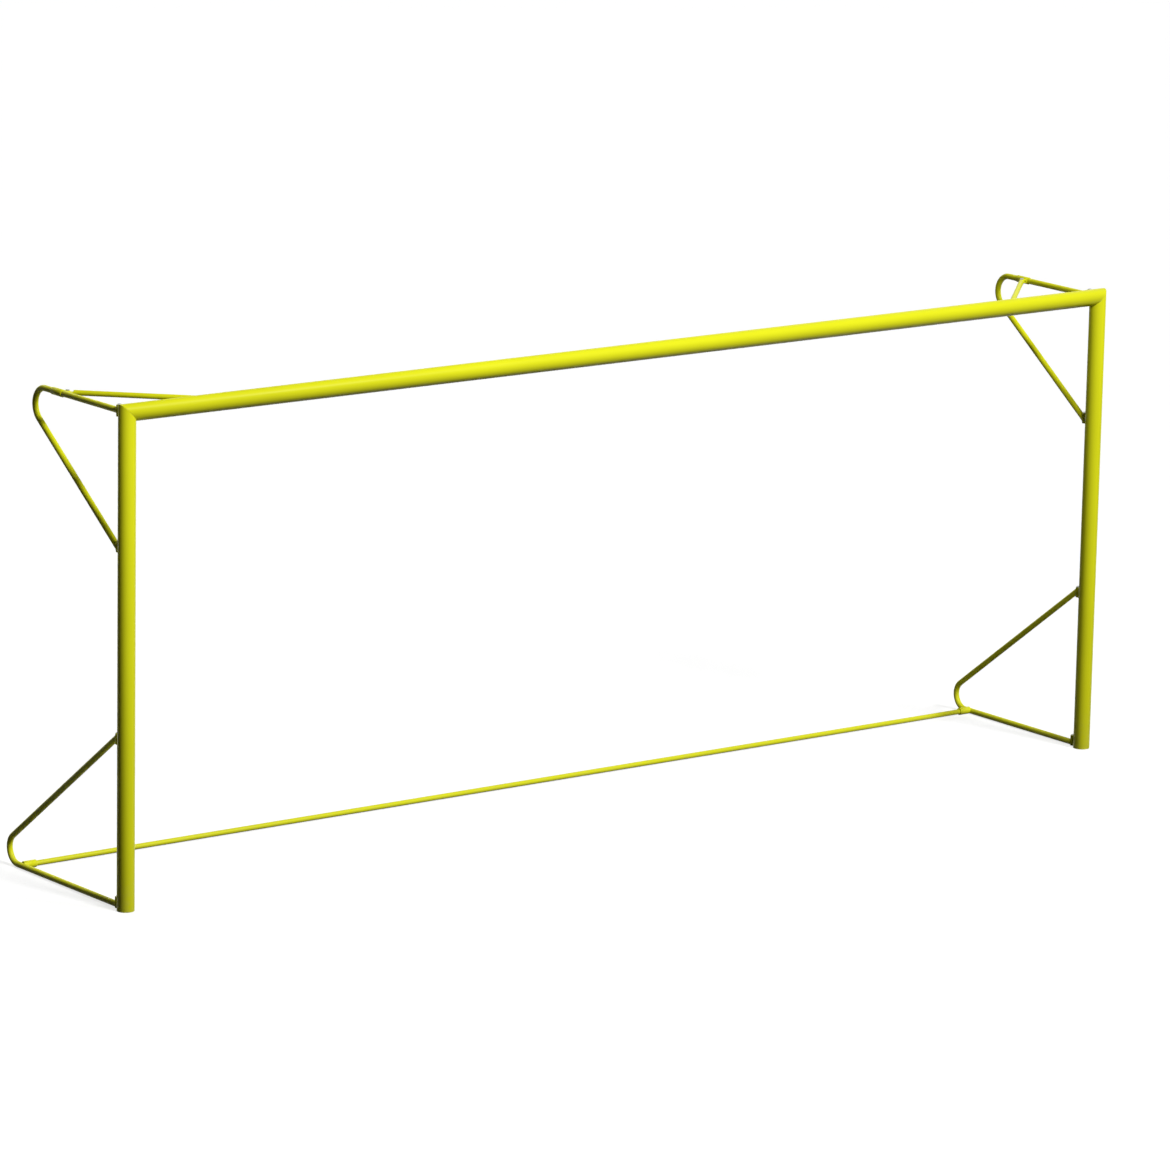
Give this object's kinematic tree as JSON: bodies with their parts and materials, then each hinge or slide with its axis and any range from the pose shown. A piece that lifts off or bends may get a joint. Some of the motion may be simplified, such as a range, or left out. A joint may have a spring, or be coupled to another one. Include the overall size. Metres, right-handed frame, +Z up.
{
  "type": "beach soccer goal",
  "caption": "Free-standing tubular beach soccer goal frame with swinging net hoops, corner braces and a ground bar at the rear.",
  "frame": {"origin": "on the ground, midway between the posts and midway between the front of the posts and the rear of the lower hoops", "axes": "+X along the crossbar to the right post as seen from the field, +Y to the rear where the net hangs, +Z up"},
  "size_m": [5.66, 1.0112, 2.28],
  "materials": {
    "yellow_paint": "gloss",
    "yellow_plastic": "satin",
    "zinc_steel": "satin",
    "cast_aluminium": "matte",
    "black_plastic": "matte"
  },
  "bodies": {
    "frame": {"crossbar": "yellow_paint", "ground_bar": "yellow_paint", "left_post": "yellow_paint", "left_corner_joint": "cast_aluminium", "left_corner_post_screw": "zinc_steel", "left_corner_bar_screw": "zinc_steel", "left_foot_cap": "yellow_plastic", "left_brace_lug": "yellow_paint", "left_lug_bolt": "zinc_steel", "left_lug_nut": "zinc_steel", "left_bar_plug": "black_plastic", "left_upper_top_bracket": "yellow_paint", "left_upper_top_pin": "zinc_steel", "left_upper_bottom_bracket": "yellow_paint", "left_upper_bottom_pin": "zinc_steel", "left_lower_top_bracket": "yellow_paint", "left_lower_top_pin": "zinc_steel", "left_lower_bottom_bracket": "yellow_paint", "left_lower_bottom_pin": "zinc_steel", "right_post": "yellow_paint", "right_corner_joint": "cast_aluminium", "right_corner_post_screw": "zinc_steel", "right_corner_bar_screw": "zinc_steel", "right_foot_cap": "yellow_plastic", "right_brace_lug": "yellow_paint", "right_lug_bolt": "zinc_steel", "right_lug_nut": "zinc_steel", "right_bar_plug": "black_plastic", "right_upper_top_bracket": "yellow_paint", "right_upper_top_pin": "zinc_steel", "right_upper_bottom_bracket": "yellow_paint", "right_upper_bottom_pin": "zinc_steel", "right_lower_top_bracket": "yellow_paint", "right_lower_top_pin": "zinc_steel", "right_lower_bottom_bracket": "yellow_paint", "right_lower_bottom_pin": "zinc_steel"},
    "left_upper_hoop": {"left_upper_hoop": "yellow_paint", "left_upper_top_barrel": "yellow_paint", "left_upper_bottom_barrel": "yellow_paint", "left_brace_sleeve": "yellow_paint", "left_pivot_bolt": "zinc_steel", "left_pivot_nut": "zinc_steel"},
    "left_lower_hoop": {"left_lower_hoop": "yellow_paint", "left_lower_top_barrel": "yellow_paint", "left_lower_bottom_barrel": "yellow_paint", "left_bar_socket": "yellow_paint"},
    "left_brace": {"left_brace": "yellow_paint"},
    "right_upper_hoop": {"right_upper_hoop": "yellow_paint", "right_upper_top_barrel": "yellow_paint", "right_upper_bottom_barrel": "yellow_paint", "right_brace_sleeve": "yellow_paint", "right_pivot_bolt": "zinc_steel", "right_pivot_nut": "zinc_steel"},
    "right_lower_hoop": {"right_lower_hoop": "yellow_paint", "right_lower_top_barrel": "yellow_paint", "right_lower_bottom_barrel": "yellow_paint", "right_bar_socket": "yellow_paint"},
    "right_brace": {"right_brace": "yellow_paint"}
  },
  "joints": [
    {"name": "left_upper_swing", "type": "hinge", "parent": "frame", "child": "left_upper_hoop", "pos_m": [-2.79, -0.40363, 0], "axis": [0, 0, 1], "range_deg": [0, 90]},
    {"name": "left_lower_swing", "type": "hinge", "parent": "frame", "child": "left_lower_hoop", "pos_m": [-2.79, -0.40363, 0], "axis": [0, 0, 1], "range_deg": [0, 90]},
    {"name": "left_brace_fold", "type": "hinge", "parent": "left_upper_hoop", "child": "left_brace", "pos_m": [-2.758, 0.06251, 2.24], "axis": [0, 0, 1], "range_deg": [0, 135]},
    {"name": "right_upper_swing", "type": "hinge", "parent": "frame", "child": "right_upper_hoop", "pos_m": [2.79, -0.40363, 0], "axis": [0, 0, -1], "range_deg": [0, 90]},
    {"name": "right_lower_swing", "type": "hinge", "parent": "frame", "child": "right_lower_hoop", "pos_m": [2.79, -0.40363, 0], "axis": [0, 0, -1], "range_deg": [0, 90]},
    {"name": "right_brace_fold", "type": "hinge", "parent": "right_upper_hoop", "child": "right_brace", "pos_m": [2.758, 0.06251, 2.24], "axis": [0, 0, -1], "range_deg": [0, 135]}
  ]
}
